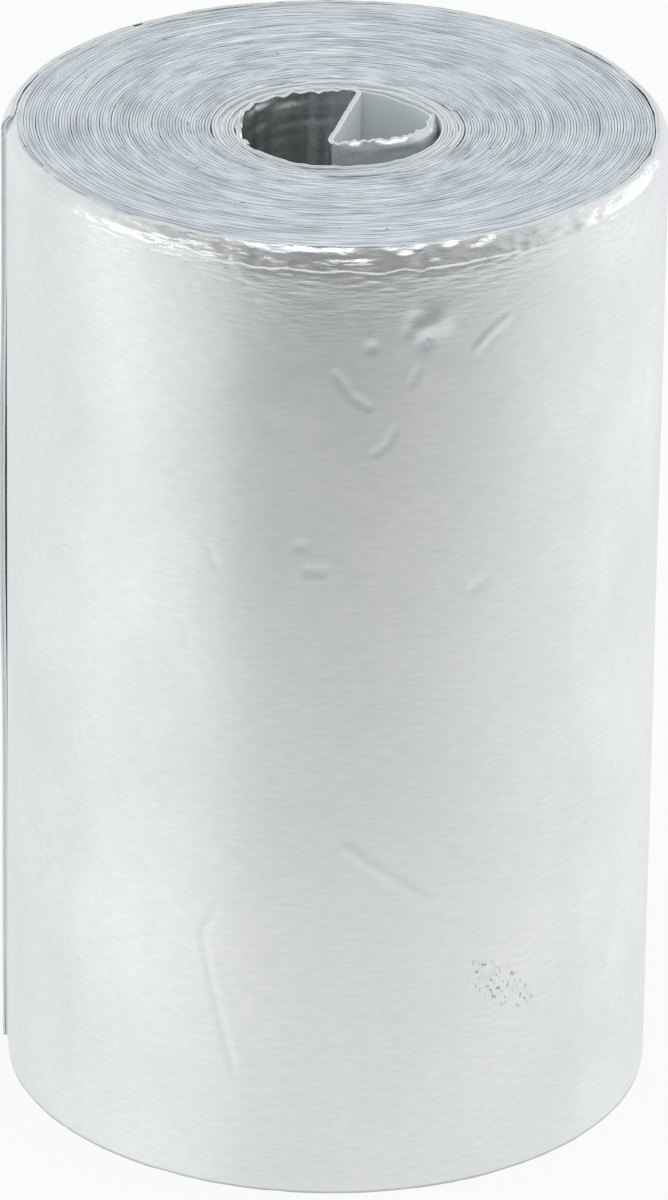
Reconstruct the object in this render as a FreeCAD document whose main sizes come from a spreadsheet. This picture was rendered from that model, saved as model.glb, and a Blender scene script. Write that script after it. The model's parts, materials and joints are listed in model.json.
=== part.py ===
import FreeCAD, Part
import math
import os

# A coreless roll of self-adhesive metal foil tape, standing on end.
# The strip is a laminate of three layers: metal foil on the outside of the roll, a film of
# adhesive under it, and a paper release liner facing the middle. It was wound on a slotted
# mandrel, so its first few centimetres are folded into an S across the eye of the roll.
# The strip runs in plan as lines and arcs that meet in tangents, so each layer is the strip
# between two exact parallels of that run, made as high as the tape is wide. The layers are
# modelled one by one where they can be told apart: the folded start, the loose turns round the
# eye, the outer turn and the free end. The tight turns between are one solid, bounded by the
# spiral itself, so the layers run into its two steps and out of them.
# +Z is the roll's axis and the origin is the middle of its lower end. All lengths are in mm.

os.makedirs("parts", exist_ok=True)
doc = FreeCAD.newDocument("foil_tape_roll")
V = FreeCAD.Vector

# ---- driving sizes ---------------------------------------------------------------------
SIZES = [
    ("tape_width", 50.0),      # height of the roll
    ("roll_radius", 16.1),     # outside of the last whole turn
    ("eye_radius", 5.15),      # foil side of the first whole turn
    ("foil_thick", 0.10),
    ("glue_thick", 0.05),
    ("liner_thick", 0.10),
    ("wind_slack", 0.03),      # least air between two turns
    ("tail_slack", 0.05),      # air between the tail and the first whole turn
    ("tail_start", 207.0),     # where the tail begins round the eye, degrees
    ("chord_lean", 77.0),      # the chord across the eye, degrees from the X axis
    ("chord_side", 0.02),      # the chord's distance from the axis
    ("fold_front", 1.62),      # the front fold's distance in front of the axis
    ("fold_round", 0.60),      # foil radius of the front fold
    ("back_round", 0.35),      # foil radius of the rear fold
    ("lip_lean", 5.0),         # the lip's direction where it leaves the front fold, degrees
    ("lip_round", 10.0),       # the lip's long curve
    ("merge_round", 2.6),      # the tight curve that lays the lip on the wall
    ("eye_turns", 4),          # whole turns round the eye, layer by layer
    ("hinge_place", 130.0),    # where the free end leaves the roll, degrees
    ("end_place", 178.0),      # where the strip is cut off, degrees
    ("end_lift", 0.4),         # how much flatter than the roll the free end is bent
]
sheet = doc.addObject("Spreadsheet::Sheet", "sizes")
for row, (name, value) in enumerate(SIZES, 1):
    sheet.set("A%d" % row, name)
    sheet.set("B%d" % row, str(value))
    sheet.setAlias("B%d" % row, name)
doc.recompute()
size = {name: float(getattr(sheet, name)) for name, _ in SIZES}


# ---- the strip's run in plan -----------------------------------------------------------
# Every stretch is followed from the tail to the free edge. Its own line is the foil's bare
# face, and the other faces lie to the left of it, where the liner is.
def along(deg):
    return V(math.cos(math.radians(deg)), math.sin(math.radians(deg)), 0)


def left_of(deg):
    return along(deg + 90)


def bend(centre, radius, start, stop):
    """An arc from one direction of its centre to another: turning left where stop is greater."""
    return {"centre": centre, "radius": radius, "start": start, "stop": stop}


def straight(start, stop):
    return {"from": start, "to": stop}


def edge_of(piece, offset):
    """The piece's parallel at this distance to its left."""
    if "from" in piece:
        run = piece["to"] - piece["from"]
        side = V(-run.y, run.x, 0).normalize() * offset
        return Part.LineSegment(piece["from"] + side, piece["to"] + side)
    turns_left = piece["stop"] > piece["start"]
    radius = piece["radius"] - offset if turns_left else piece["radius"] + offset
    low, high = sorted((piece["start"], piece["stop"]))
    circle = Part.Circle(piece["centre"], V(0, 0, 1), radius)
    return Part.ArcOfCircle(circle, math.radians(low), math.radians(high))


def end_point(piece, offset, last):
    if "from" in piece:
        edge = edge_of(piece, offset)
        return edge.EndPoint if last else edge.StartPoint
    turns_left = piece["stop"] > piece["start"]
    radius = piece["radius"] - offset if turns_left else piece["radius"] + offset
    return piece["centre"] + along(piece["stop" if last else "start"]) * radius


def start_of_strip(s):
    """Tail, rear fold, chord, front fold, lip and the curve onto the wall of the eye."""
    full = s["foil_thick"] + s["glue_thick"] + s["liner_thick"]
    tail_radius = s["eye_radius"] - 2 * full - s["tail_slack"]
    down = s["chord_lean"] + 180
    foot = left_of(down) * s["chord_side"]
    # the rear fold touches both the tail's circle and the chord
    base = foot - left_of(down) * s["back_round"]
    inner = tail_radius - s["back_round"]
    reach = math.sqrt(inner**2 - base.dot(base) + base.dot(along(down)) ** 2)
    back = base - along(down) * (base.dot(along(down)) + reach)
    back_angle = math.degrees(math.atan2(back.y, back.x))
    # the front fold's centre lies level with the wanted distance in front of the axis
    level = -s["fold_front"]
    front_start = foot + along(down) * (
        (level - (foot + left_of(down) * s["fold_round"]).y) / along(down).y
    )
    front = front_start + left_of(down) * s["fold_round"]
    lip = s["lip_lean"] + 360
    lip_start = front - left_of(lip) * s["fold_round"]
    lip_centre = lip_start + left_of(lip) * s["lip_round"]
    # the tight curve's centre: inside both the lip's circle and the eye's
    a, b = s["lip_round"] - s["merge_round"], s["eye_radius"] - s["merge_round"]
    gap = lip_centre.Length
    to_axis = lip_centre * (-1 / gap)
    step = (a**2 - b**2 + gap**2) / (2 * gap)
    rise = math.sqrt(a**2 - step**2)
    merge = lip_centre + to_axis * step + V(-to_axis.y, to_axis.x, 0) * rise
    off_lip = merge - lip_centre
    leave = math.degrees(math.atan2(off_lip.y, off_lip.x))
    wall = math.degrees(math.atan2(merge.y, merge.x))
    pieces = [
        bend(V(0, 0, 0), tail_radius, s["tail_start"], back_angle),
        bend(back, s["back_round"], back_angle, down + 90 - 360),
        straight(back + along(down + 90) * s["back_round"], front_start),
        bend(front, s["fold_round"], down - 90, lip - 90),
        bend(lip_centre, s["lip_round"], lip - 90 - 360, leave),
        bend(merge, s["merge_round"], leave, wall),
    ]
    return pieces, wall


def half_turn(s, wall, pitch, half, span=180.0):
    """Half turns run about two centres that are half a pitch apart, which makes the spiral."""
    centre = along(wall) * (pitch / 2) if half % 2 else V(0, 0, 0)
    start = wall + 180 * (half % 2)
    return bend(centre, s["eye_radius"] + half * pitch / 2, start, start + span)


def turns_of_strip(s, wall):
    """The spiral from the eye's wall to the hinge, as the runs of its three parts."""
    full = s["foil_thick"] + s["glue_thick"] + s["liner_thick"]
    whole = int((s["roll_radius"] - s["eye_radius"]) / (full + s["wind_slack"]))
    pitch = (s["roll_radius"] - s["eye_radius"]) / whole
    near, far = 2 * int(s["eye_turns"]), 2 * (whole - 1)
    rest = (s["hinge_place"] - wall) % 360
    eye = [half_turn(s, wall, pitch, half) for half in range(near)]
    packed_inside = [half_turn(s, wall, pitch, half) for half in (near, near + 1)]
    packed_outside = [half_turn(s, wall, pitch, half) for half in (far - 2, far - 1)]
    outer = [half_turn(s, wall, pitch, half) for half in (far, far + 1)]
    while rest > 0:
        outer.append(half_turn(s, wall, pitch, far + len(outer), min(rest, 180.0)))
        rest -= 180
    return eye, packed_inside, packed_outside, outer


def free_end_of_strip(s, last):
    """The cut end of the strip, a little flatter than the roll, so that it stands off it."""
    here = last["centre"] + along(last["stop"]) * last["radius"]
    radius = last["radius"] + s["end_lift"]
    centre = here - along(last["stop"]) * radius
    return [bend(centre, radius, last["stop"], last["stop"] + s["end_place"] - s["hinge_place"])]


start_run, wall_angle = start_of_strip(size)
eye_run, packed_inside, packed_outside, outer_run = turns_of_strip(size, wall_angle)
end_run = free_end_of_strip(size, outer_run[-1])


# ---- one body for each layer of each stretch ---------------------------------------------
def add_padded(label, edges):
    """A sketch of closed edges, padded to the tape's width."""
    body = doc.addObject("PartDesign::Body", label + "_body")
    sketch = body.newObject("Sketcher::SketchObject", label + "_outline")
    ground = [f for f in body.Origin.OriginFeatures if f.Role == "XY_Plane"][0]
    sketch.AttachmentSupport = [(ground, "")]
    sketch.MapMode = "FlatFace"
    sketch.addGeometry(edges, False)
    pad = body.newObject("PartDesign::Pad", label + "_pad")
    pad.Profile = sketch
    pad.setExpression("Length", "sizes.tape_width")
    body.Label = label
    body.Placement = FreeCAD.Placement(V(0, 0, 0), FreeCAD.Rotation())
    return body


def layer_edges(run, near, far):
    """The outline of the strip between two parallels of a run."""
    edges = [edge_of(piece, near) for piece in run]
    edges.append(Part.LineSegment(end_point(run[-1], near, True), end_point(run[-1], far, True)))
    edges += [edge_of(piece, far) for piece in reversed(run)]
    edges.append(Part.LineSegment(end_point(run[0], far, False), end_point(run[0], near, False)))
    return edges


def turn_edges(run, offset):
    """One whole turn of the spiral, closed by the step of one pitch between its ends."""
    edges = [edge_of(piece, offset) for piece in run]
    step = Part.LineSegment(end_point(run[-1], offset, True), end_point(run[0], offset, False))
    return edges + [step]


foil = size["foil_thick"]
glue = foil + size["glue_thick"]
liner = glue + size["liner_thick"]
LAYERS = [("foil", 0.0, foil), ("adhesive", foil, glue), ("liner", glue, liner)]
RUNS = [("s_fold", start_run), ("eye_turns", eye_run), ("outer_turn", outer_run),
        ("free_end", end_run)]
bodies = [
    add_padded("%s_%s" % (layer, place), layer_edges(run, near, far))
    for place, run in RUNS
    for layer, near, far in LAYERS
]
packed = turn_edges(packed_inside, liner) + turn_edges(packed_outside, 0.0)
bodies.append(add_padded("packed_turns", packed))
doc.recompute()

# ---- checks, then the files --------------------------------------------------------------
for item in doc.Objects:
    if "Invalid" in item.State or "Error" in item.State:
        raise RuntimeError("%s is in state %s" % (item.Label, item.State))
for body in bodies:
    if body.Shape.isNull() or not body.Shape.isValid() or len(body.Shape.Solids) != 1:
        raise RuntimeError("%s has no single sound solid" % body.Label)
for body in bodies:
    body.Shape.exportStep("parts/%s.step" % body.Label)
    box = body.Shape.BoundBox
    print(body.Label, "volume %.1f" % body.Shape.Volume, "faces", len(body.Shape.Faces),
          "x %.2f..%.2f y %.2f..%.2f z %.2f..%.2f" % (box.XMin, box.XMax, box.YMin, box.YMax,
                                                     box.ZMin, box.ZMax))
hinge = end_point(end_run[0], 0.0, False)
print("wall angle %.2f, hinge at %.4f %.4f" % (wall_angle, hinge.x, hinge.y))
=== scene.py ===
import json
import math

import bpy
import numpy as np
from mathutils import Matrix, Vector


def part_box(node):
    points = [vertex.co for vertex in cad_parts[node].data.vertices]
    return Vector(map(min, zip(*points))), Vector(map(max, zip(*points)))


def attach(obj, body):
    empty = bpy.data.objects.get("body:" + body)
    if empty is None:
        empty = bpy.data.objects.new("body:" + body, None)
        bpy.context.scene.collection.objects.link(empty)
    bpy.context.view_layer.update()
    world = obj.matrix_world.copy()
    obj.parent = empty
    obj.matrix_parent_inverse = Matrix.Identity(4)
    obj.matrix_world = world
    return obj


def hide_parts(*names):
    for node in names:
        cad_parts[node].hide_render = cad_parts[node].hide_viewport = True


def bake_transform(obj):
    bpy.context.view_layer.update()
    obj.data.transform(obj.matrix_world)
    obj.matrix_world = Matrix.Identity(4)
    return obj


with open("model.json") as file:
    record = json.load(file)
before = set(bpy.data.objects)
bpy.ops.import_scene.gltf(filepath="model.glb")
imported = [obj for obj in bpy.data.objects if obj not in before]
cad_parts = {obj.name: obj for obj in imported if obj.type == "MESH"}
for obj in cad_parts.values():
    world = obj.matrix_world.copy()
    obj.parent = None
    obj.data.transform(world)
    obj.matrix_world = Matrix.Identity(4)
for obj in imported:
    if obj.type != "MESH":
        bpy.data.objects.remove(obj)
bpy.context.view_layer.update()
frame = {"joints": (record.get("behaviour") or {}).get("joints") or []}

# ---- the studio ----------------------------------------------------------------------
# The roll stands on a wide white table, under a soft lamp and between two more, one on its
# left and one behind it on its right. The room is an even grey, darker in front in metal.
MM = 0.001
HINGE = 130.0
roll_low, roll_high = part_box("foil_outer_turn")
TAPE = roll_high.z - roll_low.z
ROLL = -frame["joints"][0]["pos_m"][0] / math.cos(math.radians(180 - HINGE))
scene = bpy.context.scene
scene.view_settings.view_transform = "Standard"


def link_up(tree, source, target):
    tree.links.new(source, target)


def new_tree(material):
    material.use_nodes = True
    tree = material.node_tree
    tree.nodes.clear()
    return tree


def seen_plain(tree):
    """One for camera, mirror and see-through rays, and nothing for the light that falls on things."""
    path = tree.nodes.new("ShaderNodeLightPath")
    worn = path.outputs["Is Camera Ray"]
    for other in ("Is Glossy Ray", "Is Transmission Ray"):
        either = tree.nodes.new("ShaderNodeMath")
        either.operation = "MAXIMUM"
        link_up(tree, worn, either.inputs[0])
        link_up(tree, path.outputs[other], either.inputs[1])
        worn = either.outputs[0]
    return worn


def laid_over(tree, value, start, stop, low, high):
    """A range of values laid over another range."""
    span = tree.nodes.new("ShaderNodeMapRange")
    for socket, number in (("From Min", start), ("From Max", stop), ("To Min", low), ("To Max", high)):
        span.inputs[socket].default_value = number
    link_up(tree, value, span.inputs["Value"])
    return span


TABLE_GLOW = 0.88
table_mesh = bpy.data.meshes.new("table")
reach = 3.0
table_mesh.from_pydata([(-reach, -reach, 0), (reach, -reach, 0), (reach, reach, 0), (-reach, reach, 0)],
                       [], [(0, 1, 2, 3)])
table = bpy.data.objects.new("table", table_mesh)
scene.collection.objects.link(table)
table_white = bpy.data.materials.new("table_white")
tree = new_tree(table_white)
matt = tree.nodes.new("ShaderNodeBsdfDiffuse")
matt.inputs["Color"].default_value = (0.86, 0.87, 0.88, 1)
glow = tree.nodes.new("ShaderNodeEmission")
glow.inputs["Color"].default_value = (1, 1, 1, 1)
share = tree.nodes.new("ShaderNodeMath")
share.operation = "MULTIPLY"
share.inputs[1].default_value = TABLE_GLOW
link_up(tree, seen_plain(tree), share.inputs[0])
# what metal mirrors of the table darkens towards the unlit side in front
over = tree.nodes.new("ShaderNodeTexCoord")
ahead = tree.nodes.new("ShaderNodeSeparateXYZ")
link_up(tree, over.outputs["Object"], ahead.inputs[0])
dusk = laid_over(tree, ahead.outputs["Y"], -0.15, -0.055, 0.08, 1.0)
dusk.interpolation_type = "SMOOTHSTEP"
direct = tree.nodes.new("ShaderNodeLightPath")
sides = laid_over(tree, ahead.outputs["Y"], -0.04, -0.005, 1.0, 0.92)
mirrored = tree.nodes.new("ShaderNodeMath")
mirrored.operation = "MULTIPLY"
link_up(tree, dusk.outputs[0], mirrored.inputs[0])
link_up(tree, sides.outputs[0], mirrored.inputs[1])
lit = tree.nodes.new("ShaderNodeMath")
lit.operation = "MAXIMUM"
link_up(tree, direct.outputs["Is Camera Ray"], lit.inputs[0])
link_up(tree, mirrored.outputs[0], lit.inputs[1])
link_up(tree, lit.outputs[0], glow.inputs["Strength"])
blend = tree.nodes.new("ShaderNodeMixShader")
out = tree.nodes.new("ShaderNodeOutputMaterial")
link_up(tree, share.outputs[0], blend.inputs["Fac"])
link_up(tree, matt.outputs[0], blend.inputs[1])
link_up(tree, glow.outputs[0], blend.inputs[2])
link_up(tree, blend.outputs[0], out.inputs["Surface"])
table_mesh.materials.append(table_white)

room = bpy.data.worlds.new("room")
scene.world = room
room.use_nodes = True
tree = room.node_tree
tree.nodes.clear()
white = tree.nodes.new("ShaderNodeBackground")
white.inputs["Color"].default_value = (1, 1, 1, 1)
grey = tree.nodes.new("ShaderNodeBackground")
grey.inputs["Color"].default_value = (0.93, 0.97, 1.0, 1)
grey.inputs["Strength"].default_value = 0.62
# metal mirrors the white behind the roll, and the darker side of the room in front of it
facing = tree.nodes.new("ShaderNodeTexCoord")
depth = tree.nodes.new("ShaderNodeSeparateXYZ")
link_up(tree, facing.outputs["Generated"], depth.inputs[0])
sunk = tree.nodes.new("ShaderNodeMath")
sunk.operation = "MULTIPLY_ADD"
sunk.inputs[1].default_value = -0.8
link_up(tree, depth.outputs["Z"], sunk.inputs[0])
link_up(tree, depth.outputs["Y"], sunk.inputs[2])
behind = laid_over(tree, sunk.outputs[0], -1.22, -0.3, 0.28, 0.85)
path = tree.nodes.new("ShaderNodeLightPath")
bright = tree.nodes.new("ShaderNodeMath")
bright.operation = "MAXIMUM"
link_up(tree, path.outputs["Is Camera Ray"], bright.inputs[0])
link_up(tree, behind.outputs[0], bright.inputs[1])
link_up(tree, bright.outputs[0], white.inputs["Strength"])
either = tree.nodes.new("ShaderNodeMixShader")
out = tree.nodes.new("ShaderNodeOutputWorld")
link_up(tree, seen_plain(tree), either.inputs["Fac"])
link_up(tree, grey.outputs[0], either.inputs[1])
link_up(tree, white.outputs[0], either.inputs[2])
link_up(tree, either.outputs[0], out.inputs["Surface"])


def soft_lamp(name, bearing, rise, distance, wide, high, brightness):
    """A flat soft lamp facing the roll: bearing in degrees to the right of the front."""
    light = bpy.data.lights.new(name, "AREA")
    light.shape = "RECTANGLE"
    light.size, light.size_y = wide, high
    light.energy = brightness * math.pi * wide * high
    lamp = bpy.data.objects.new(name, light)
    scene.collection.objects.link(lamp)
    turn, lift = math.radians(bearing), math.radians(rise)
    target = Vector((0, 0, TAPE / 2))
    lamp.location = target + distance * Vector(
        (math.sin(turn) * math.cos(lift), -math.cos(turn) * math.cos(lift), math.sin(lift)))
    lamp.rotation_euler = (target - lamp.location).to_track_quat("-Z", "Y").to_euler()
    lamp.visible_camera = False


soft_lamp("left_soft_lamp", -62, 8, 0.7, 0.74, 0.20, 1.42)
soft_lamp("right_soft_lamp", 116, 8, 0.7, 0.46, 0.20, 1.15)
soft_lamp("top_soft_lamp", 30, 82, 0.9, 0.7, 0.6, 1.58)

# The camera is half a metre away in front and looks down on the roll, through a long lens.
lens = bpy.data.cameras.new("camera")
lens.sensor_fit = "VERTICAL"
lens.sensor_height = 24.0
lens.lens = 196.82
lens.clip_start = 0.01
lens.clip_end = 20
camera = bpy.data.objects.new("camera", lens)
scene.collection.objects.link(camera)
scene.camera = camera
tilt = math.radians(25.2515)
view_point = Vector((0.0162888 * ROLL, 0, TAPE / 2 - 0.0288048 * ROLL))
camera.matrix_world = (
    Matrix.Translation(view_point - 30.0751 * ROLL * Vector((0, math.cos(tilt), -math.sin(tilt))))
    @ Matrix.Rotation(math.pi / 2 - tilt, 4, "X")
    @ Matrix.Rotation(math.radians(0.808), 4, "Z")
)

# ---- the folded start ------------------------------------------------------------------
# The strip's first length was gripped in a slotted spindle: a tail along the eye's wall, a
# sharp fold, a straight piece across the eye, a second fold and a lip that curves onto the
# wall. Three layers: soft aluminium foil, its tacky film and a matt paper liner.
FOIL, GLUE, LINER = 0.10 * MM, 0.15 * MM, 0.25 * MM
EYE = 5.15 * MM
TURNS = 39
PITCH = (ROLL - EYE) / TURNS
WALL = 21.79
LAYERS = {"foil": (0.0, FOIL), "adhesive": (FOIL, GLUE), "liner": (GLUE, LINER)}


def along(deg):
    return np.array([math.cos(math.radians(deg)), math.sin(math.radians(deg))])


def left_of(deg):
    return along(deg + 90)


def bend(centre, radius, start, stop):
    return ("bend", np.asarray(centre, float), radius, start, stop)


def straight(start, stop):
    return ("straight", np.asarray(start, float), np.asarray(stop, float))


def folded_start():
    """The run of the foil's bare face in plan, from the tail to the wall of the eye."""
    tail, back, front, lip, merge = EYE - 2 * LINER - 0.05 * MM, 0.35 * MM, 0.6 * MM, 10 * MM, 2.6 * MM
    down = 257.0
    foot = left_of(down) * 0.02 * MM
    base = foot - left_of(down) * back
    inner = tail - back
    reach = math.sqrt(inner**2 - base @ base + (base @ along(down)) ** 2)
    back_at = base - along(down) * (base @ along(down) + reach)
    back_angle = math.degrees(math.atan2(back_at[1], back_at[0]))
    chord_end = foot + along(down) * ((-1.62 * MM - (foot + left_of(down) * front)[1]) / along(down)[1])
    front_at = chord_end + left_of(down) * front
    lip_angle = 365.0
    lip_at = front_at - left_of(lip_angle) * front + left_of(lip_angle) * lip
    a, b, gap = lip - merge, EYE - merge, np.linalg.norm(lip_at)
    toward = -lip_at / gap
    step = (a**2 - b**2 + gap**2) / (2 * gap)
    merge_at = lip_at + toward * step + np.array([-toward[1], toward[0]]) * math.sqrt(a**2 - step**2)
    leave = math.degrees(math.atan2(*(merge_at - lip_at)[::-1]))
    wall = math.degrees(math.atan2(merge_at[1], merge_at[0]))
    return [
        bend((0, 0), tail, 207.0, back_angle),
        bend(back_at, back, back_angle, down + 90 - 360),
        straight(back_at + along(down + 90) * back, chord_end),
        bend(front_at, front, down - 90, lip_angle - 90),
        bend(lip_at, lip, lip_angle - 90 - 360, leave),
        bend(merge_at, merge, leave, wall),
    ]


def stations(run, *steps):
    """Points along a run, with the way to its left and the length run so far."""
    spots, lefts, lengths, done = [], [], [], 0.0
    for number, piece in enumerate(run):
        step = steps[min(number, len(steps) - 1)]
        if piece[0] == "straight":
            _, start, stop = piece
            length = np.linalg.norm(stop - start)
            parts = max(2, math.ceil(length / step))
            ahead = (stop - start) / length
            here = [start + (stop - start) * i / parts for i in range(parts + 1)]
            side = [np.array([-ahead[1], ahead[0]])] * (parts + 1)
        else:
            _, centre, radius, start, stop = piece
            length = abs(math.radians(stop - start)) * radius
            parts = max(math.ceil(length / step), math.ceil(abs(stop - start) / 7))
            angles = [start + (stop - start) * i / parts for i in range(parts + 1)]
            here = [centre + along(a) * radius for a in angles]
            side = [along(a) * (-1 if stop > start else 1) for a in angles]
        first = 1 if spots else 0
        spots += here[first:]
        lefts += side[first:]
        lengths += [done + length * i / parts for i in range(first, parts + 1)]
        done += length
    return np.array(spots), np.array(lefts), np.array(lengths)


def wander(x, wave, seed):
    """A smooth random line between -1 and 1 that changes over this wavelength."""
    table = np.random.default_rng(seed).uniform(-1, 1, 1024)
    t = np.asarray(x, float) / wave + 97.0
    i = np.floor(t).astype(int)
    f = t - i
    f = f * f * (3 - 2 * f)
    return table[i % 1024] * (1 - f) + table[(i + 1) % 1024] * f


def ripple(x, y, wave_x, wave_y, seed):
    """A smooth random surface between -1 and 1."""
    table = np.random.default_rng(seed).uniform(-1, 1, (256, 256))
    u, v = np.asarray(x, float) / wave_x + 31.0, np.asarray(y, float) / wave_y + 17.0
    i, j = np.floor(u).astype(int), np.floor(v).astype(int)
    f, g = u - i, v - j
    f, g = f * f * (3 - 2 * f), g * g * (3 - 2 * g)
    low = table[i % 256, j % 256] * (1 - f) + table[(i + 1) % 256, j % 256] * f
    high = table[i % 256, (j + 1) % 256] * (1 - f) + table[(i + 1) % 256, (j + 1) % 256] * f
    return low * (1 - g) + high * g


def strip_layer(name, spots, lefts, lengths, rows, near, far, top, base, push, finish, kept=1):
    """One closed layer of tape. rows are shares of its height, top and base say how ragged its
    edges are, push moves it outwards, and kept thins out the rows of its hidden side."""
    n, m = len(spots), len(rows)
    upper, lower = TAPE + top(lengths), base(lengths)
    z = lower[:, None] + (upper - lower)[:, None] * np.asarray(rows)[None, :]
    s = np.repeat(lengths[:, None], m, axis=1)
    out = push(s, z)
    few = sorted({*range(0, m, kept), m - 1})
    sides = []
    for offset, some in ((near, slice(None)), (far, few)):
        plan = spots[:, None, :] + (offset - out[:, some])[:, :, None] * lefts[:, None, :]
        sides.append(np.dstack([plan, z[:, some]]).reshape(-1, 3))
    face = np.arange(n * m).reshape(n, m)
    back = np.arange(n * len(few)).reshape(n, len(few)) + n * m

    def grid(index):
        a, b, c, d = index[:-1, :-1], index[1:, :-1], index[1:, 1:], index[:-1, 1:]
        return np.stack([a, b, c, d], -1).reshape(-1, 4).tolist()

    def edge(one, two):
        return np.stack([one[:-1], one[1:], two[1:], two[:-1]], -1).tolist()

    faces = grid(face) + [quad[::-1] for quad in grid(back)]
    faces += edge(face[:, -1], back[:, -1]) + edge(back[:, 0], face[:, 0])
    faces += [face[0].tolist() + back[0, ::-1].tolist(), back[-1].tolist() + face[-1, ::-1].tolist()]
    mesh = bpy.data.meshes.new(name)
    mesh.from_pydata(np.vstack(sides).tolist(), [], faces)
    mesh.polygons.foreach_set("use_smooth", [True] * len(mesh.polygons))
    places = np.vstack([np.column_stack([s[:, some].ravel(), z[:, some].ravel()])
                        for some in (slice(None), few)])
    corners = np.zeros(len(mesh.loops), np.int32)
    mesh.loops.foreach_get("vertex_index", corners)
    mesh.uv_layers.new(name="strip").data.foreach_set("uv", places[corners].ravel())
    mesh.set_sharp_from_angle(angle=math.radians(50))
    mesh.materials.append(finish)
    piece = bpy.data.objects.new(name, mesh)
    scene.collection.objects.link(piece)
    return piece


def noise(tree, place, stretch, scale, detail=3.0):
    """Noise on places in metres, stretched along its three axes and given in waves to a millimetre."""
    spread = tree.nodes.new("ShaderNodeMapping")
    spread.inputs["Scale"].default_value = [1000 * k for k in stretch]
    link_up(tree, place, spread.inputs["Vector"])
    grain = tree.nodes.new("ShaderNodeTexNoise")
    grain.inputs["Scale"].default_value = scale
    grain.inputs["Detail"].default_value = detail
    link_up(tree, spread.outputs[0], grain.inputs["Vector"])
    return grain.outputs["Fac"]


def spread_to(tree, value, low, high, start=0.3, stop=0.7):
    """The noise's middle range laid over another range."""
    return laid_over(tree, value, start, stop, low, high).outputs[0]


def between(tree, factor, one, two):
    mix = tree.nodes.new("ShaderNodeMix")
    mix.data_type = "RGBA"
    for socket, colour in ((mix.inputs[6], one), (mix.inputs[7], two)):
        if isinstance(colour, tuple):
            socket.default_value = (*colour, 1)
        else:
            link_up(tree, colour, socket)
    link_up(tree, factor, mix.inputs[0])
    return mix.outputs[2]


def shaded(tree, colour, shade):
    """A colour darkened by a shade."""
    tone = tree.nodes.new("ShaderNodeMix")
    tone.data_type = "RGBA"
    tone.blend_type = "MULTIPLY"
    tone.inputs[0].default_value = 1.0
    link_up(tree, colour, tone.inputs[6])
    link_up(tree, shade, tone.inputs[7])
    return tone.outputs[2]


def bumped(tree, shader, *layers):
    """Stacks bumps on a shader: each a height, how strong it is and how deep it is in metres."""
    last = None
    for height, strength, depth in layers:
        bump = tree.nodes.new("ShaderNodeBump")
        bump.inputs["Strength"].default_value = strength
        bump.inputs["Distance"].default_value = depth
        link_up(tree, height, bump.inputs["Height"])
        if last is not None:
            link_up(tree, last, bump.inputs["Normal"])
        last = bump.outputs[0]
    link_up(tree, last, shader.inputs["Normal"])


def ring_tone(tree, colour):
    """Darker rings, and a few dark specks, over the cut edges on the two ends of the roll."""
    coords = tree.nodes.new("ShaderNodeTexCoord")
    parts = tree.nodes.new("ShaderNodeSeparateXYZ")
    link_up(tree, coords.outputs["Object"], parts.inputs[0])
    flat = tree.nodes.new("ShaderNodeCombineXYZ")
    link_up(tree, parts.outputs[0], flat.inputs[0])
    link_up(tree, parts.outputs[1], flat.inputs[1])
    length = tree.nodes.new("ShaderNodeVectorMath")
    length.operation = "LENGTH"
    link_up(tree, flat.outputs[0], length.inputs[0])
    way = tree.nodes.new("ShaderNodeVectorMath")
    way.operation = "NORMALIZE"
    link_up(tree, flat.outputs[0], way.inputs[0])
    slow = tree.nodes.new("ShaderNodeVectorMath")
    slow.operation = "SCALE"
    slow.inputs["Scale"].default_value = 3.2 * MM
    link_up(tree, way.outputs[0], slow.inputs[0])
    turned = tree.nodes.new("ShaderNodeSeparateXYZ")
    link_up(tree, slow.outputs[0], turned.inputs[0])
    ringed = tree.nodes.new("ShaderNodeCombineXYZ")
    link_up(tree, length.outputs["Value"], ringed.inputs[0])
    link_up(tree, turned.outputs[0], ringed.inputs[1])
    link_up(tree, turned.outputs[1], ringed.inputs[2])
    wide = noise(tree, ringed.outputs[0], (1.3, 1.0, 1.0), 1.0, 2.0)
    fine = noise(tree, ringed.outputs[0], (4.6, 1.6, 1.6), 1.0, 2.0)
    specks = noise(tree, coords.outputs["Object"], (2.2, 2.2, 0.2), 1.0, 1.0)
    for grain, dark, start, stop in ((wide, 0.84, 0.36, 0.56), (fine, 0.84 + 0.06, 0.38, 0.5),
                                     (specks, 0.45, 0.20, 0.24)):
        rings = spread_to(tree, grain, 0, 1, start, stop)
        colour = shaded(tree, colour, between(tree, rings, (dark, dark, dark + 0.02), (1, 1, 1)))
    return colour


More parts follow.
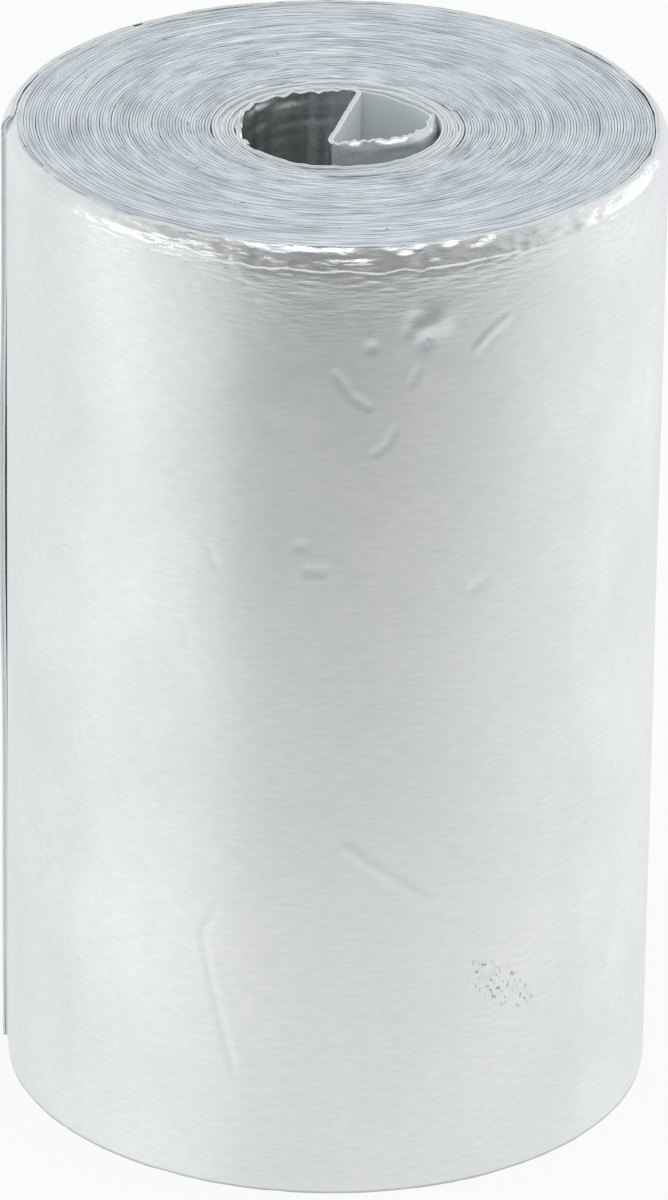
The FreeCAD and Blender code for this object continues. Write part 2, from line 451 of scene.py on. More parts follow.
def shadowed_edge_and_scuffs(tree, place, colour):
    """The outer face's dark marks: a painted contact shadow along its lower edge, and a patch of scuffs low
    on the front.
    """
    up = tree.nodes.new("ShaderNodeSeparateXYZ")
    link_up(tree, place, up.inputs[0])
    # painted contact shadow along the lower edge, darkest in its lowest 0.05 mm and gone by 0.16 mm
    edge = spread_to(tree, up.outputs[1], 1.0, 0.0, 0.05 * MM, 0.16 * MM)
    frame_in = tree.nodes.new("ShaderNodeMapping")
    frame_in.vector_type = "TEXTURE"
    frame_in.inputs["Location"].default_value = (SCUFF_AT, SCUFF_HEIGHT, 0)
    frame_in.inputs["Rotation"].default_value = (0, 0, math.radians(SCUFF_SLANT))
    frame_in.inputs["Scale"].default_value = (*SCUFF_REACH, 1)
    link_up(tree, place, frame_in.inputs["Vector"])
    away = tree.nodes.new("ShaderNodeVectorMath")
    away.operation = "LENGTH"
    link_up(tree, frame_in.outputs[0], away.inputs[0])
    patch = spread_to(tree, away.outputs["Value"], 1.0, 0.0, 0.75, 1.0)
    scratch = spread_to(tree, noise(tree, place, (5.5, 3.2, 1.0), 1.0, 2.0), 1.0, 0.0, 0.36, 0.41)
    dots = spread_to(tree, noise(tree, place, (1.9, 1.9, 1.0), 1.0, 1.0), 1.0, 0.0, 0.15, 0.17)
    marks = tree.nodes.new("ShaderNodeMath")
    marks.operation = "MULTIPLY"
    link_up(tree, patch, marks.inputs[0])
    link_up(tree, scratch, marks.inputs[1])
    # the lower edge darkens to 0.62 as painted contact shadow; the scuffs and dots are real marks
    for mark, shade in ((edge, 0.62), (marks.outputs[0], 0.52), (dots, 0.5)):
        colour = shaded(tree, colour, between(tree, mark, (1, 1, 1), (shade, shade, shade * 1.03)))
    return colour


def foil_finish(name, on_strip, dark, light, smooth, rough, relief=0.12, burnished_and_shadowed=False):
    """Rolled aluminium foil: short streaks along the strip, a fine tooth and cloudy sheen."""
    material = bpy.data.materials.new(name)
    tree = new_tree(material)
    coords = tree.nodes.new("ShaderNodeTexCoord")
    place = coords.outputs["UV"] if on_strip else coords.outputs["Object"]
    metal = tree.nodes.new("ShaderNodeBsdfPrincipled")
    metal.inputs["Metallic"].default_value = 1.0
    if on_strip:
        metal.inputs["Anisotropic"].default_value = 0.75
        metal.inputs["Anisotropic Rotation"].default_value = 0.25
        grainwise = tree.nodes.new("ShaderNodeTangent")
        grainwise.direction_type = "UV_MAP"
        grainwise.uv_map = "strip"
        link_up(tree, grainwise.outputs[0], metal.inputs["Tangent"])
    out = tree.nodes.new("ShaderNodeOutputMaterial")
    link_up(tree, metal.outputs[0], out.inputs["Surface"])
    streak_shape = (1.1, 5.0, 1.0) if on_strip else (0.7, 0.7, 7.0)
    streaks = noise(tree, place, streak_shape, 1.0, 5.0)
    tooth = noise(tree, place, (6.0, 6.0, 6.0), 1.0, 2.0)
    clouds = noise(tree, place, (0.16, 0.12, 0.14), 1.0, 3.0)
    body = between(tree, spread_to(tree, streaks, 0, 1, 0.35, 0.65), dark, light)
    colour = shaded(tree, body, between(tree, spread_to(tree, clouds, 0, 1), (0.90, 0.91, 0.91), (1, 1, 1)))
    if not on_strip:
        colour = ring_tone(tree, colour)
    # the outer face gets a painted contact shadow along its lower edge, its scuffs, and a smoother,
    # crinkled top
    if burnished_and_shadowed:
        colour = shadowed_edge_and_scuffs(tree, place, colour)
    link_up(tree, colour, metal.inputs["Base Color"])
    sheen = tree.nodes.new("ShaderNodeMath")
    sheen.operation = "ADD"
    link_up(tree, spread_to(tree, clouds, smooth, rough), sheen.inputs[0])
    link_up(tree, spread_to(tree, tooth, -0.012, 0.012), sheen.inputs[1])
    sheen = sheen.outputs[0]
    if burnished_and_shadowed:
        up = tree.nodes.new("ShaderNodeSeparateXYZ")
        link_up(tree, place, up.inputs[0])
        rubbed = tree.nodes.new("ShaderNodeMath")
        rubbed.operation = "MULTIPLY"
        link_up(tree, sheen, rubbed.inputs[0])
        link_up(tree, spread_to(tree, up.outputs[1], 1.0, 0.72, TAPE - 2.4 * MM, TAPE - 1.0 * MM),
                rubbed.inputs[1])
        sheen = rubbed.outputs[0]
    link_up(tree, sheen, metal.inputs["Roughness"])
    layers = [(streaks, relief, 0.02 * MM), (tooth, relief, 0.01 * MM)]
    if burnished_and_shadowed:
        crinkle = tree.nodes.new("ShaderNodeMath")
        crinkle.operation = "MULTIPLY"
        link_up(tree, noise(tree, place, (1.3, 5.5, 1.0), 1.0, 3.0), crinkle.inputs[0])
        link_up(tree, spread_to(tree, up.outputs[1], 0.0, 1.0, TAPE - 5.5 * MM, TAPE - 1.0 * MM),
                crinkle.inputs[1])
        layers.append((crinkle.outputs[0], 0.8, 0.06 * MM))
    bumped(tree, metal, *layers)
    return material


def paper_finish(name, dark, light, ringed=False):
    """Matt release paper: faint fibres, a slightly uneven tone and no shine."""
    material = bpy.data.materials.new(name)
    tree = new_tree(material)
    coords = tree.nodes.new("ShaderNodeTexCoord")
    paper = tree.nodes.new("ShaderNodeBsdfPrincipled")
    paper.inputs["Specular IOR Level"].default_value = 0.3
    out = tree.nodes.new("ShaderNodeOutputMaterial")
    link_up(tree, paper.outputs[0], out.inputs["Surface"])
    fibres = noise(tree, coords.outputs["Object"], (3.0, 3.0, 3.0), 1.0, 6.0)
    cloud = noise(tree, coords.outputs["Object"], (0.4, 0.4, 0.4), 1.0, 3.0)
    colour = between(tree, spread_to(tree, cloud, 0, 1), dark, light)
    link_up(tree, ring_tone(tree, colour) if ringed else colour, paper.inputs["Base Color"])
    link_up(tree, spread_to(tree, fibres, 0.62, 0.8), paper.inputs["Roughness"])
    bumped(tree, paper, (fibres, 0.4, 0.02 * MM))
    return material


def tacky_finish(name):
    """The adhesive film's cut edge and face: greyish and half shiny, with tiny bubbles."""
    material = bpy.data.materials.new(name)
    tree = new_tree(material)
    coords = tree.nodes.new("ShaderNodeTexCoord")
    film = tree.nodes.new("ShaderNodeBsdfPrincipled")
    out = tree.nodes.new("ShaderNodeOutputMaterial")
    link_up(tree, film.outputs[0], out.inputs["Surface"])
    bubbles = noise(tree, coords.outputs["Object"], (5.0, 5.0, 5.0), 1.0, 2.0)
    link_up(tree, between(tree, spread_to(tree, bubbles, 0, 1), (0.54, 0.56, 0.57), (0.66, 0.68, 0.69)),
            film.inputs["Base Color"])
    link_up(tree, spread_to(tree, bubbles, 0.25, 0.45), film.inputs["Roughness"])
    bumped(tree, film, (bubbles, 0.3, 0.01 * MM))
    return material


FINISH = {
    "foil": foil_finish("folded_foil", True, (0.79, 0.81, 0.81), (0.84, 0.86, 0.86), 0.24, 0.31, 0.0),
    "adhesive": tacky_finish("tacky_film"),
    "liner": paper_finish("release_paper", (0.82, 0.86, 0.87), (0.90, 0.93, 0.94)),
}

fold_run = folded_start()
fold_spots, fold_lefts, fold_lengths = stations(fold_run, 0.14 * MM)
fold_rows = np.concatenate([np.linspace(0, 0.84, 10)[:-1], np.linspace(0.84, 0.94, 24)[:-1],
                            np.linspace(0.94, 1, 46)])


def fold_top(s):
    """The cut edge: nicked along the tail, with a torn notch near its start, and bumpy on the lip."""
    tail = 1 - np.clip((s / MM - 9.5) / 1.0, 0, 1)
    edge = 0.05 * wander(s, 0.5 * MM, 3) + 0.05 * wander(s, 0.22 * MM, 4)
    edge = edge + tail * (0.12 * wander(s, 1.3 * MM, 5) + 0.1 * wander(s, 0.45 * MM, 6))
    notch = 0.35 * np.exp(-(((s / MM) - 3.1) / 0.35) ** 2)
    return (edge - notch - 0.3) * MM


def fold_push(s, z):
    """Ripples under the cut edge, upright pleats down the tail, and a crumpled lip turned back."""
    depth = (TAPE - z) / MM
    edge = np.exp(-depth / 1.6)
    tail = 1 - np.clip((s / MM - 9.0) / 1.0, 0, 1)
    lip = np.clip((s / MM - 17.4) / 0.8, 0, 1) * (1 - np.clip((s / MM - 23.5) / 1.5, 0, 1))
    waves = 0.07 * ripple(s, z, 1.7 * MM, 0.36 * MM, 11) * edge * tail
    pleats = 0.06 * ripple(s, z, 0.5 * MM, 9 * MM, 12) * np.exp(-depth / 10) * tail
    crumple = 0.12 * ripple(s, z, 1.0 * MM, 0.45 * MM, 13) * lip * np.exp(-depth / 2.0)
    turned_back = -0.50 * (1 + 0.2 * wander(s, 0.9 * MM, 14)) * lip * np.exp(-((depth / 0.42) ** 2))
    return (waves + pleats + crumple + turned_back) * MM


for layer, (near, far) in LAYERS.items():
    piece = strip_layer("folded_start_" + layer, fold_spots, fold_lefts, fold_lengths, fold_rows, near, far,
                        fold_top, lambda s: 0 * s, fold_push, FINISH[layer])
    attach(piece, "roll")
    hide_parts(layer + "_s_fold")

# ---- the turns round the eye -----------------------------------------------------------
# The first four whole turns have sprung a little loose, so slivers of shadow show between
# them at the two sides of the eye, and their edges stand at slightly different heights.
def half_turn(half, span=180.0):
    centre = along(WALL) * (PITCH / 2) if half % 2 else (0, 0)
    start = WALL + 180 * (half % 2)
    return bend(centre, EYE + half * PITCH / 2, start, start + span)


EYE_HALVES = 8
DISH, DISH_INNER, DISH_OUTER, DISH_CURVE = 0.38, 5.0, 15.5, 1.3


def dished(radius):
    """How far the turns' edges lie below the rim, deepest at the eye, in millimetres."""
    share = np.clip((radius / MM - DISH_INNER) / (DISH_OUTER - DISH_INNER), 0, 1)
    return -DISH * (1 - share) ** DISH_CURVE


eye_spots, eye_lefts, eye_lengths = stations([half_turn(h) for h in range(EYE_HALVES)], 0.2 * MM)
eye_rows = np.concatenate([np.linspace(0, 0.94, 8)[:-1], np.linspace(0.94, 1, 12)])
eye_radii = np.linalg.norm(eye_spots, axis=1)


def eye_top(s):
    radius = np.interp(s, eye_lengths, eye_radii)
    slow = 0.10 * wander(s, 9 * MM, 21) + 0.05 * wander(s, 2.3 * MM, 22)
    return (dished(radius) + slow + 0.03 * wander(s, 0.4 * MM, 23)) * MM


def eye_push(s, z):
    depth = (TAPE - z) / MM
    return (-0.03 + 0.03 * ripple(s, z, 3 * MM, 8 * MM, 24) + 0.02 * wander(s, 0.8 * MM, 25)
            * np.exp(-depth)) * MM


for layer, (near, far) in LAYERS.items():
    rise = {"foil": 0.0, "adhesive": -0.05, "liner": 0.02}[layer]
    piece = strip_layer("eye_turns_" + layer, eye_spots, eye_lefts, eye_lengths, eye_rows, near, far,
                        lambda s, rise=rise: eye_top(s) + rise * MM, lambda s: 0 * s, eye_push,
                        FINISH[layer])
    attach(piece, "roll")
    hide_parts(layer + "_eye_turns")

# ---- the tight turns -------------------------------------------------------------------
# Thirty-four turns of the same three layers, wound tight. Each layer is one ribbon that runs
# round two centres half a pitch apart. Its cut edges stand a hair higher or lower from
# turn to turn, which draws the rings on the two ends of the roll.
LAST_HALVES = 2 * TURNS - 2
RIM_DROP_FROM, RIM_DROP_TO = 0.76 * MM, 0.40 * MM


def ask(tree, name, kind, value):
    socket = tree.interface.new_socket(name=name, in_out="INPUT", socket_type=kind)
    if value is not None:
        socket.default_value = value
    return socket.identifier


def sum_of(tree, operation, *values):
    """A chain of one kind of sum over numbers and sockets."""
    total = values[0]
    for value in values[1:] or (None,):
        node = tree.nodes.new("ShaderNodeMath")
        node.operation = operation
        for socket, given in zip(node.inputs, (total, value)):
            if given is None:
                continue
            if isinstance(given, (int, float)):
                socket.default_value = given
            else:
                link_up(tree, given, socket)
        total = node.outputs[0]
    return total


def wound_ribbon():
    """The node tree of one layer: a ribbon along the spiral, with ragged and stepped edges."""
    tree = bpy.data.node_groups.new("wound_ribbon", "GeometryNodeTree")
    tree.interface.new_socket(name="Ribbon", in_out="OUTPUT", socket_type="NodeSocketGeometry")
    names = {}
    for name, kind, value in (
        ("Half Turns", "NodeSocketInt", LAST_HALVES - EYE_HALVES),
        ("First Half Turn", "NodeSocketInt", EYE_HALVES),
        ("Steps", "NodeSocketInt", 90), ("Eye Radius", "NodeSocketFloat", EYE),
        ("Pitch", "NodeSocketFloat", PITCH), ("Start Angle", "NodeSocketFloat", math.radians(WALL)),
        ("Inset", "NodeSocketFloat", 0.0), ("Thickness", "NodeSocketFloat", FOIL),
        ("Tape Width", "NodeSocketFloat", TAPE), ("Edge Rise", "NodeSocketFloat", 0.0),
        ("Ring Step", "NodeSocketFloat", 0.11 * MM), ("Ragged", "NodeSocketFloat", 0.014 * MM),
        ("Dish", "NodeSocketFloat", DISH * MM), ("Rim Radius", "NodeSocketFloat", ROLL),
        ("Rim Drop", "NodeSocketFloat", 0.9 * MM), ("Seed", "NodeSocketFloat", 1.0),
        ("Finish", "NodeSocketMaterial", None),
    ):
        names[name] = ask(tree, name, kind, value)
    given = tree.nodes.new("NodeGroupInput").outputs
    make = tree.nodes.new

    line = make("GeometryNodeMeshLine")
    link_up(tree, sum_of(tree, "ADD", sum_of(tree, "MULTIPLY", given["Half Turns"], given["Steps"]), 1),
            line.inputs["Count"])
    thread = make("GeometryNodeMeshToCurve")
    link_up(tree, line.outputs["Mesh"], thread.inputs["Mesh"])
    run = sum_of(tree, "DIVIDE", make("GeometryNodeInputIndex").outputs[0], given["Steps"])
    half = sum_of(tree, "ADD", sum_of(tree, "FLOOR", run), given["First Half Turn"])
    odd = sum_of(tree, "MODULO", half, 2)
    spin = sum_of(tree, "ADD", given["Start Angle"],
                  sum_of(tree, "MULTIPLY", sum_of(tree, "ADD", run, given["First Half Turn"]), math.pi))
    cosine, sine = sum_of(tree, "COSINE", spin), sum_of(tree, "SINE", spin)

    # a slow waver in the radius, one place apart in the noise for each part of the turn
    around = make("ShaderNodeCombineXYZ")
    link_up(tree, cosine, around.inputs[0])
    link_up(tree, sine, around.inputs[1])
    link_up(tree, sum_of(tree, "ADD", sum_of(tree, "MULTIPLY", run, 0.9), given["Seed"]), around.inputs[2])
    waver = make("ShaderNodeTexNoise")
    waver.inputs["Scale"].default_value = 1.7
    link_up(tree, around.outputs[0], waver.inputs["Vector"])
    sway = sum_of(tree, "MULTIPLY", sum_of(tree, "SUBTRACT", waver.outputs["Fac"], 0.5), 0.09 * MM)

    radius = sum_of(tree, "ADD", given["Eye Radius"],
                    sum_of(tree, "MULTIPLY", half, given["Pitch"], 0.5), sway)
    radius = sum_of(tree, "SUBTRACT", radius, given["Inset"],
                    sum_of(tree, "MULTIPLY", given["Thickness"], 0.5))
    aside = sum_of(tree, "MULTIPLY", odd, given["Pitch"], 0.5)
    spot = make("ShaderNodeCombineXYZ")
    for socket, turned, start in ((0, cosine, "COSINE"), (1, sine, "SINE")):
        centre = sum_of(tree, "MULTIPLY", aside, sum_of(tree, start, given["Start Angle"]))
        link_up(tree, sum_of(tree, "ADD", centre, sum_of(tree, "MULTIPLY", radius, turned)),
                spot.inputs[socket])
    link_up(tree, sum_of(tree, "MULTIPLY", given["Tape Width"], 0.5), spot.inputs[2])
    place = make("GeometryNodeSetPosition")
    link_up(tree, thread.outputs["Curve"], place.inputs["Geometry"])
    link_up(tree, spot.outputs[0], place.inputs["Position"])
    upright = make("GeometryNodeSetCurveNormal")
    upright.mode = "Z_UP"
    link_up(tree, place.outputs[0], upright.inputs["Curve"])
    section = make("GeometryNodeCurvePrimitiveQuadrilateral")
    link_up(tree, given["Thickness"], section.inputs["Width"])
    link_up(tree, given["Tape Width"], section.inputs["Height"])
    ribbon = make("GeometryNodeCurveToMesh")
    ribbon.inputs["Fill Caps"].default_value = True
    link_up(tree, upright.outputs[0], ribbon.inputs["Curve"])
    link_up(tree, section.outputs[0], ribbon.inputs["Profile Curve"])

    # the edges: rings in steps, a fine tooth, the dish round the eye and the drop under the rim
    where = make("GeometryNodeInputPosition")
    parts = make("ShaderNodeSeparateXYZ")
    link_up(tree, where.outputs[0], parts.inputs[0])
    x, y, z = parts.outputs
    out = sum_of(tree, "SQRT", sum_of(tree, "ADD", sum_of(tree, "MULTIPLY", x, x),
                                      sum_of(tree, "MULTIPLY", y, y)))
    ring = make("ShaderNodeCombineXYZ")
    link_up(tree, sum_of(tree, "MULTIPLY", out, 1.25 / MM), ring.inputs[0])
    link_up(tree, sum_of(tree, "MULTIPLY", sum_of(tree, "DIVIDE", x, out), 0.8), ring.inputs[1])
    end = sum_of(tree, "SIGN", sum_of(tree, "SUBTRACT", z, 0.01))
    link_up(tree, sum_of(tree, "ADD", sum_of(tree, "MULTIPLY", sum_of(tree, "DIVIDE", y, out), 0.8),
                         sum_of(tree, "MULTIPLY", end, 7)), ring.inputs[2])
    rings = make("ShaderNodeTexNoise")
    rings.inputs["Scale"].default_value = 1.0
    rings.inputs["Detail"].default_value = 4.0
    rings.inputs["Roughness"].default_value = 0.7
    link_up(tree, ring.outputs[0], rings.inputs["Vector"])
    teeth = make("ShaderNodeTexNoise")
    teeth.inputs["Scale"].default_value = 2.2 / MM
    teeth.inputs["Detail"].default_value = 2.0
    link_up(tree, where.outputs[0], teeth.inputs["Vector"])
    steps = sum_of(tree, "MULTIPLY", sum_of(tree, "SUBTRACT", rings.outputs["Fac"], 0.5), 4,
                   given["Ring Step"])
    frays = sum_of(tree, "MULTIPLY", sum_of(tree, "SUBTRACT", teeth.outputs["Fac"], 0.5), 4,
                   given["Ragged"])
    inward = laid_over(tree, out, DISH_INNER * MM, DISH_OUTER * MM, 1.0, 0.0)
    dish = sum_of(tree, "MULTIPLY", sum_of(tree, "POWER", inward.outputs[0], DISH_CURVE), given["Dish"])
    near_rim = make("ShaderNodeMapRange")
    near_rim.interpolation_type = "SMOOTHSTEP"
    link_up(tree, sum_of(tree, "SUBTRACT", given["Rim Radius"], RIM_DROP_FROM), near_rim.inputs["From Min"])
    link_up(tree, sum_of(tree, "SUBTRACT", given["Rim Radius"], RIM_DROP_TO), near_rim.inputs["From Max"])
    link_up(tree, out, near_rim.inputs["Value"])
    drop = sum_of(tree, "MULTIPLY", near_rim.outputs[0], given["Rim Drop"])
    rise = sum_of(tree, "SUBTRACT", sum_of(tree, "ADD", steps, frays, given["Edge Rise"]), dish, drop)
    upper = sum_of(tree, "GREATER_THAN", z, sum_of(tree, "MULTIPLY", given["Tape Width"], 0.5))
    low = sum_of(tree, "MAXIMUM", sum_of(tree, "MULTIPLY", sum_of(tree, "ADD", steps, frays), 0.5), 0.0)
    lift = sum_of(tree, "ADD", sum_of(tree, "MULTIPLY", upper, rise),
                  sum_of(tree, "MULTIPLY", sum_of(tree, "SUBTRACT", 1, upper), low))
    move = make("ShaderNodeCombineXYZ")
    link_up(tree, lift, move.inputs[2])
    edge = make("GeometryNodeSetPosition")
    link_up(tree, ribbon.outputs[0], edge.inputs["Geometry"])
    link_up(tree, move.outputs[0], edge.inputs["Offset"])

    real = make("GeometryNodeRealizeInstances")
    link_up(tree, edge.outputs[0], real.inputs[0])
    paint = make("GeometryNodeSetMaterial")
    link_up(tree, real.outputs[0], paint.inputs["Geometry"])
    link_up(tree, given["Finish"], paint.inputs["Material"])
    done = make("NodeGroupOutput")
    link_up(tree, paint.outputs[0], done.inputs["Ribbon"])
    return tree, names


def made_plain(maker, name):
    """The modifier's result as a mesh of its own, with the maker thrown away."""
    graph = bpy.context.evaluated_depsgraph_get()
    mesh = bpy.data.meshes.new_from_object(maker.evaluated_get(graph), depsgraph=graph)
    mesh.name = name
    bpy.data.objects.remove(maker)
    piece = bpy.data.objects.new(name, mesh)
    scene.collection.objects.link(piece)
    return piece


PACKED_FINISH = {
    "foil": foil_finish("cut_foil_edge", False, (0.80, 0.84, 0.86), (0.90, 0.94, 0.96), 0.5, 0.62, 0.3),
    "adhesive": FINISH["adhesive"],
    "liner": paper_finish("liner_edge", (0.76, 0.81, 0.84), (0.85, 0.90, 0.93), True),
}
ribbon_tree, ribbon_inputs = wound_ribbon()
for layer, (near, far) in LAYERS.items():
    maker = bpy.data.objects.new("wound_" + layer, bpy.data.meshes.new("wound_" + layer))
    scene.collection.objects.link(maker)
    modifier = maker.modifiers.new("wound_ribbon", "NODES")
    modifier.node_group = ribbon_tree
    modifier[ribbon_inputs["Inset"]] = near
    modifier[ribbon_inputs["Thickness"]] = far - near
    modifier[ribbon_inputs["Edge Rise"]] = {"foil": 0.0, "adhesive": -0.07, "liner": 0.01}[layer] * MM
    modifier[ribbon_inputs["Finish"]] = PACKED_FINISH[layer]
    piece = made_plain(maker, "tight_turns_" + layer)
    piece.data.polygons.foreach_set("use_smooth", [True] * len(piece.data.polygons))
    piece.data.set_sharp_from_angle(angle=math.radians(50))
    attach(piece, "roll")
    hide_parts("packed_turns")

# ---- the outer turn --------------------------------------------------------------------
# The last turn shows the foil's bare face: satin, rolled along its length, with the dents and
# creases of handling. Its upper edge has been knocked in all round, into a crumpled shoulder.
END_SWEEP, END_EASE = 48.0, 0.4 * MM
whole = [half_turn(LAST_HALVES), half_turn(LAST_HALVES + 1),
         half_turn(LAST_HALVES + 2, (HINGE - WALL) % 360)]
_, last_centre, last_radius, _, root_angle = whole[-1]
free_run = [bend(last_centre + along(root_angle) * (-END_EASE), last_radius + END_EASE,
                 root_angle, root_angle + END_SWEEP)]
outer_spots, outer_lefts, outer_lengths = stations(whole, 1.0 * MM, 0.19 * MM, 0.6 * MM)
TURN_END = outer_lengths[-1]
all_spots, _, all_lengths = stations(whole + free_run, 0.05 * MM)
all_bearings = np.unwrap(np.arctan2(all_spots[:, 1], all_spots[:, 0]))
SCUFF_BEARING, SCUFF_HEIGHT, SCUFF_SLANT, SCUFF_REACH = 302.5, 10.4 * MM, -38, (2.6 * MM, 1.0 * MM)
SCUFF_TURN = round((np.degrees(all_bearings).mean() - SCUFF_BEARING) / 360)

SHOULDER, INSET = 0.98, 0.41
NARROWEST, CREASE_GAIN, DINT_GAIN, DEEPEST = 0.17, 1.5, 1.6, 0.068


def bearing_of(s):
    """Where round the roll this length of the outer turn lies, in degrees."""
    return np.degrees(np.interp(s, all_lengths, all_bearings)) % 360


# each crease: its points as bearing and height, its width, and how far it stands out
CREASES = [
    ([(270.6, 43.8), (273.5, 42.6), (276.5, 42.0)], 0.16, -0.05),
    ([(280.8, 40.8), (279.6, 40.0), (277.5, 39.6)], 0.15, -0.045),
    ([(301.2, 45.8), (298.0, 45.3), (295.2, 44.5)], 0.16, 0.05),
    ([(266.0, 33.56), (269.4, 33.59)], 0.10, -0.065),
    ([(284.9, 43.9), (283.6, 43.1)], 0.16, -0.04),
    ([(248.5, 34.4), (250.4, 33.2)], 0.14, -0.02),
    ([(245.4, 47.6), (246.0, 46.9), (246.4, 45.9)], 0.12, -0.012),
    ([(219.0, 23.0), (222.3, 20.6)], 0.15, -0.025),
    ([(273.4, 18.9), (281.3, 17.15), (289.4, 15.5)], 0.22, 0.045),
    ([(250.9, 15.1), (248.2, 13.6), (250.5, 10.5), (252.0, 8.9), (254.3, 6.5)], 0.18, -0.038),
    ([(60.0, 31.0), (68.0, 27.5)], 0.2, -0.03),
    ([(95.0, 12.0), (99.0, 15.5), (101.0, 19.0)], 0.2, 0.025),
    ([(20.0, 40.0), (26.0, 38.5)], 0.16, -0.03),
    ([(345.0, 22.0), (349.0, 17.0)], 0.18, -0.02),
]
# each dint: bearing, height, how wide and how deep
DINTS = [
    (284.2, 46.45, 0.30, -0.10), (285.9, 45.2, 0.32, -0.075), (288.2, 46.25, 0.60, 0.09),
    (282.9, 45.85, 0.22, -0.06), (285.9, 46.0, 0.42, 0.04), (276.7, 45.05, 0.22, -0.07),
    (276.6, 45.6, 0.16, 0.03), (295.6, 32.1, 0.2, -0.05), (265.1, 34.8, 0.2, -0.045),
    (245.0, 29.2, 0.25, -0.03), (339.5, 38.3, 0.2, -0.06), (239.5, 30.0, 0.2, -0.05),
    (75.0, 36.0, 0.7, -0.08), (77.0, 36.5, 0.5, 0.05), (40.0, 18.0, 0.4, -0.06),
    (112.0, 42.0, 0.35, -0.05),
]
flecks = np.random.default_rng(7)
for k in range(14):
    t = flecks.uniform(0, 1)
    DINTS.append((295.2 + 14.8 * t + flecks.normal(0, 1.2), 12.3 - 3.6 * t + flecks.normal(0, 0.35),
                  flecks.uniform(0.10, 0.2), flecks.uniform(-0.08, -0.04)))
for k in range(60):
    DINTS.append((flecks.uniform(0, 360), flecks.uniform(2, 47), flecks.uniform(0.15, 0.6),
                  flecks.uniform(-0.02, 0.012)))


def handled(s, z):
    """The dents, creases and slight unevenness of the foil's face, in metres outwards."""
    turn = bearing_of(s)
    high = z / MM
    mm_round = ROLL / MM * math.pi / 180
    out = 0.010 * ripple(s, z, 7 * MM, 9 * MM, 31) + 0.004 * ripple(s, z, 1.8 * MM, 1.2 * MM, 32)
    for points, width, depth in CREASES:
        nearest = np.full(s.shape, 1e3)
        for (a0, z0), (a1, z1) in zip(points[:-1], points[1:]):
            dx, dz = (a1 - a0) * mm_round, z1 - z0
            px, pz = ((turn - a0 + 180) % 360 - 180) * mm_round, high - z0
            t = np.clip((px * dx + pz * dz) / (dx * dx + dz * dz), 0, 1)
            nearest = np.minimum(nearest, np.hypot(px - t * dx, pz - t * dz))
        width = max(width, NARROWEST)
        ridge = np.exp(-((nearest / width) ** 2)) - 0.35 * np.exp(-((nearest / width / 2.2) ** 2))
        out += CREASE_GAIN * depth * ridge
    for a0, z0, width, depth in DINTS:
        px, pz = ((turn - a0 + 180) % 360 - 180) * mm_round, high - z0
        out += DINT_GAIN * depth * np.exp(-(px**2 + pz**2) / max(width, NARROWEST) ** 2)
    return np.where(out < 0, DEEPEST * np.tanh(out / DEEPEST), out) * MM


def shoulder(s, z):
    """The knocked-in upper edge, and the small folds below it, in metres outwards. It is folded
    sharply in front and rounded over at the sides and the back."""
    front = np.exp(-(((bearing_of(s) - 280) / 42) ** 2))
    crease = SHOULDER * (0.75 + 0.25 * front)
    crease = crease + 0.10 * wander(s, 0.9 * MM, 41) + 0.06 * wander(s, 0.4 * MM, 42)
    below_top = (TAPE - z) / MM
    rise = np.clip(1 - below_top / crease, 0, 1.2)
    slope = -INSET * (1 + 0.12 * wander(s, 2.5 * MM, 43)) * rise ** (1.8 - 0.65 * front)
    facets = 0.075 * ripple(s, z, 0.7 * MM, 0.19 * MM, 44)
    facets = facets * np.clip(rise * 4, 0, 1) * (0.3 + 0.7 * front)
    tuck = 0.36 + 0.08 * wander(s, 1.2 * MM, 47)
    lips = (0.028 * np.exp(-(((below_top - crease) / 0.08) ** 2)) * (0.5 + 0.5 * wander(s, 0.8 * MM, 45))
            + 0.04 * np.exp(-(((below_top - tuck) / 0.08) ** 2)) * (0.5 + 0.5 * wander(s, 1.0 * MM, 48))
            - 0.08 * np.exp(-((below_top / 0.13) ** 2))
            - 0.05 * np.exp(-(((below_top - crease - 0.15) / 0.07) ** 2))) * (0.15 + 0.85 * front)
    fade = np.exp(-np.clip(below_top - crease, 0, None) / 0.9) * (below_top > crease * 0.9)
    folds = 0.032 * ripple(s, z, 0.8 * MM, 0.16 * MM, 46) * fade * (0.2 + 0.8 * front)
    folds = folds + 0.022 * ripple(s, z, 0.9 * MM, 0.7 * MM, 49) * np.exp(-below_top / 4.5) * front
    return (slope + facets + lips + folds) * MM


def foot(s, z):
    """The lower edge, rubbed in a little on the table."""
    return -0.035 * MM * np.exp(-((z / MM) / 0.25) ** 2) * (1 + 0.5 * wander(s, 0.9 * MM, 51))


def outer_push(s, z):
    return handled(s, z) + shoulder(s, z) + foot(s, z)


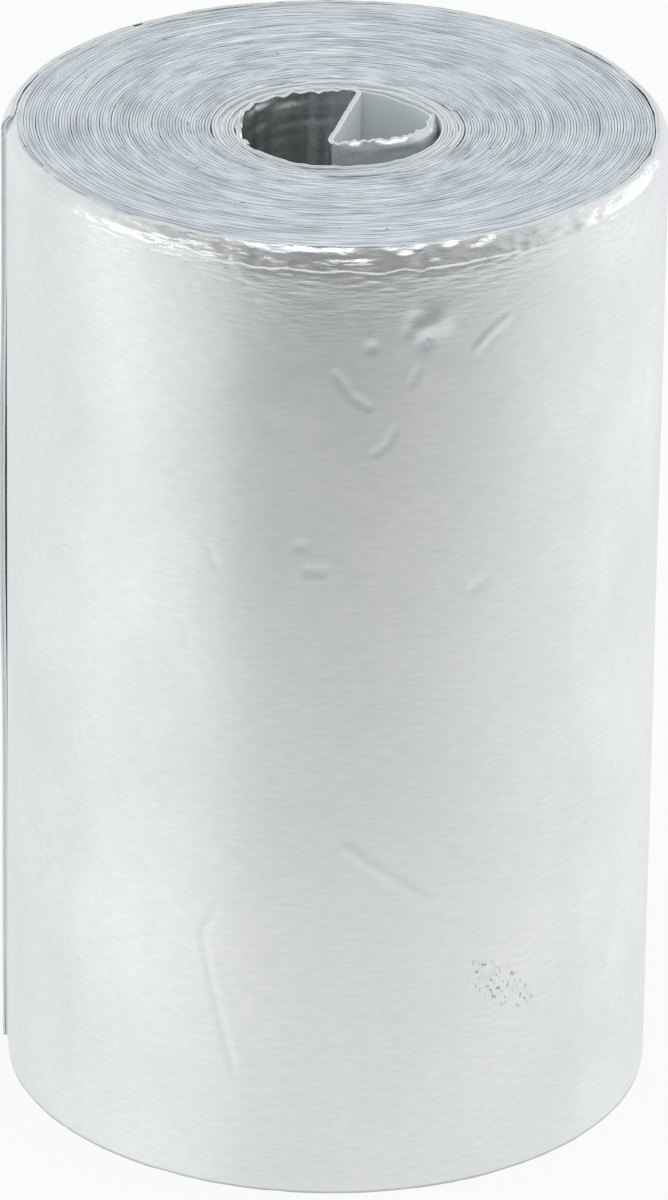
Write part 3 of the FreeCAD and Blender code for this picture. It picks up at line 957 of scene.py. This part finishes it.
def outer_top(s):
    return (0.03 * wander(s, 0.5 * MM, 61) + 0.05 * wander(s, 3 * MM, 62)) * MM


def outer_base(s):
    return np.maximum(0, 0.025 * MM * wander(s, 0.7 * MM, 63))


outer_rows = np.concatenate([
    np.linspace(0, 0.01, 4)[:-1], np.linspace(0.01, 0.68, 128)[:-1],
    np.linspace(0.68, 0.935, 60)[:-1], np.linspace(0.935, 1, 52)])
SCUFF_AT = float(outer_lengths[np.argmin(np.abs(
    np.degrees(np.interp(outer_lengths, all_lengths, all_bearings))
    - (SCUFF_BEARING + 360 * SCUFF_TURN)))])
OUTER_FOIL = foil_finish("bare_foil_face", True, (0.87, 0.89, 0.90), (0.925, 0.94, 0.95), 0.36, 0.42,
                         0.07, True)
spare_rows = np.concatenate([np.linspace(0, 0.93, 10)[:-1], np.linspace(0.93, 1, 26)])
for layer, (near, far) in LAYERS.items():
    face = layer == "foil"
    every, kept = (1, 14) if face else (2, 1)
    piece = strip_layer("outer_turn_" + layer, outer_spots[::every], outer_lefts[::every],
                        outer_lengths[::every], outer_rows if face else spare_rows, near, far,
                        outer_top, outer_base, outer_push, OUTER_FOIL if face else FINISH[layer], kept)
    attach(piece, "roll")
    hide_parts(layer + "_outer_turn")

# ---- the free end ----------------------------------------------------------------------
# The strip is cut off square at the left of the roll. Its last centimetre or so has lifted a little.
end_spots, end_lefts, end_lengths = stations(free_run, 0.22 * MM)
end_lengths = end_lengths + TURN_END


def end_push(s, z):
    """The end clings to the roll, and gapes a little only at mid-height."""
    share = np.clip((s - TURN_END) / (end_lengths[-1] - TURN_END), 0, 1)
    gape = np.exp(-((((z / MM) - 29) / 8.5) ** 4))
    return outer_push(s, z) - (0.15 - 0.10 * gape) * MM * share**2


for layer, (near, far) in LAYERS.items():
    piece = strip_layer("free_end_" + layer, end_spots, end_lefts, end_lengths,
                        outer_rows if layer == "foil" else spare_rows, near, far, outer_top, outer_base,
                        end_push, OUTER_FOIL if layer == "foil" else FINISH[layer])
    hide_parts(layer + "_free_end")
    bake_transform(piece)
